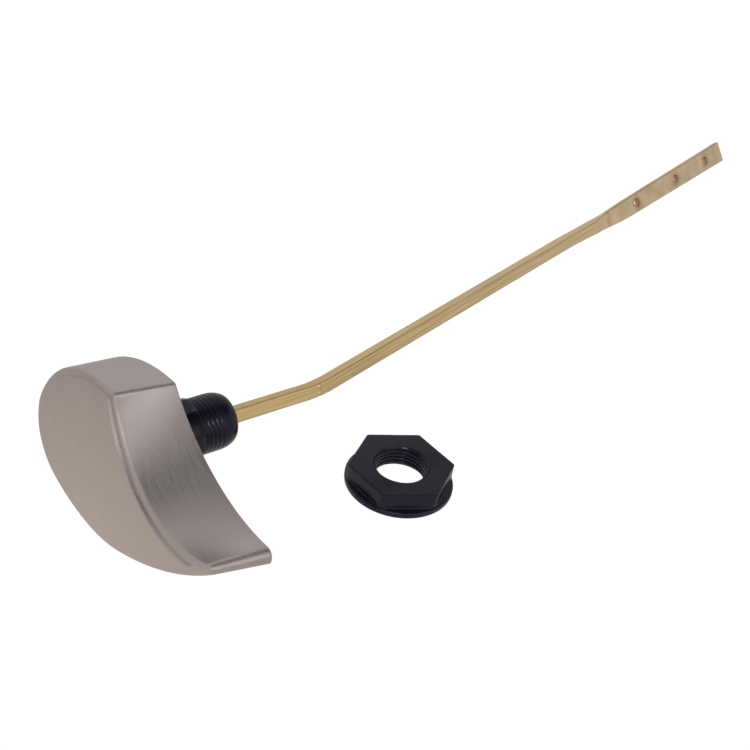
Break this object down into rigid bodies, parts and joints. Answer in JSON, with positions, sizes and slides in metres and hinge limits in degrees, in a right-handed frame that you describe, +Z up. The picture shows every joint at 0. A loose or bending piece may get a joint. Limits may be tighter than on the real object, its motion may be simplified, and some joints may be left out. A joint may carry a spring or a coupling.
{
  "type": "cistern lever",
  "caption": "Side-mount cistern flush lever: crescent brushed-metal handle on a bent square brass arm, turning in a threaded plastic bushing, with its flanged fixing nut beside it.",
  "frame": {"origin": "on the pivot axis, where the bushing's thread starts", "axes": "+X along the pivot axis into the tank, +Y to the back of the tank, +Z up as fitted"},
  "size_m": [0.2675, 0.0928, 0.0546],
  "materials": {
    "brushed_nickel": "satin",
    "brass_bar": "satin",
    "bushing_plastic": "satin",
    "nut_plastic": "satin"
  },
  "bodies": {
    "mounting": {"bushing": "bushing_plastic", "fixing_nut": "nut_plastic"},
    "lever": {"handle": "brushed_nickel", "arm_rod": "brass_bar", "arm_paddle": "brass_bar"}
  },
  "joints": [
    {"name": "lever_pivot", "type": "hinge", "parent": "mounting", "child": "lever", "pos_m": [0, 0, 0], "axis": [1, 0, 0], "range_deg": [0, 25]}
  ]
}
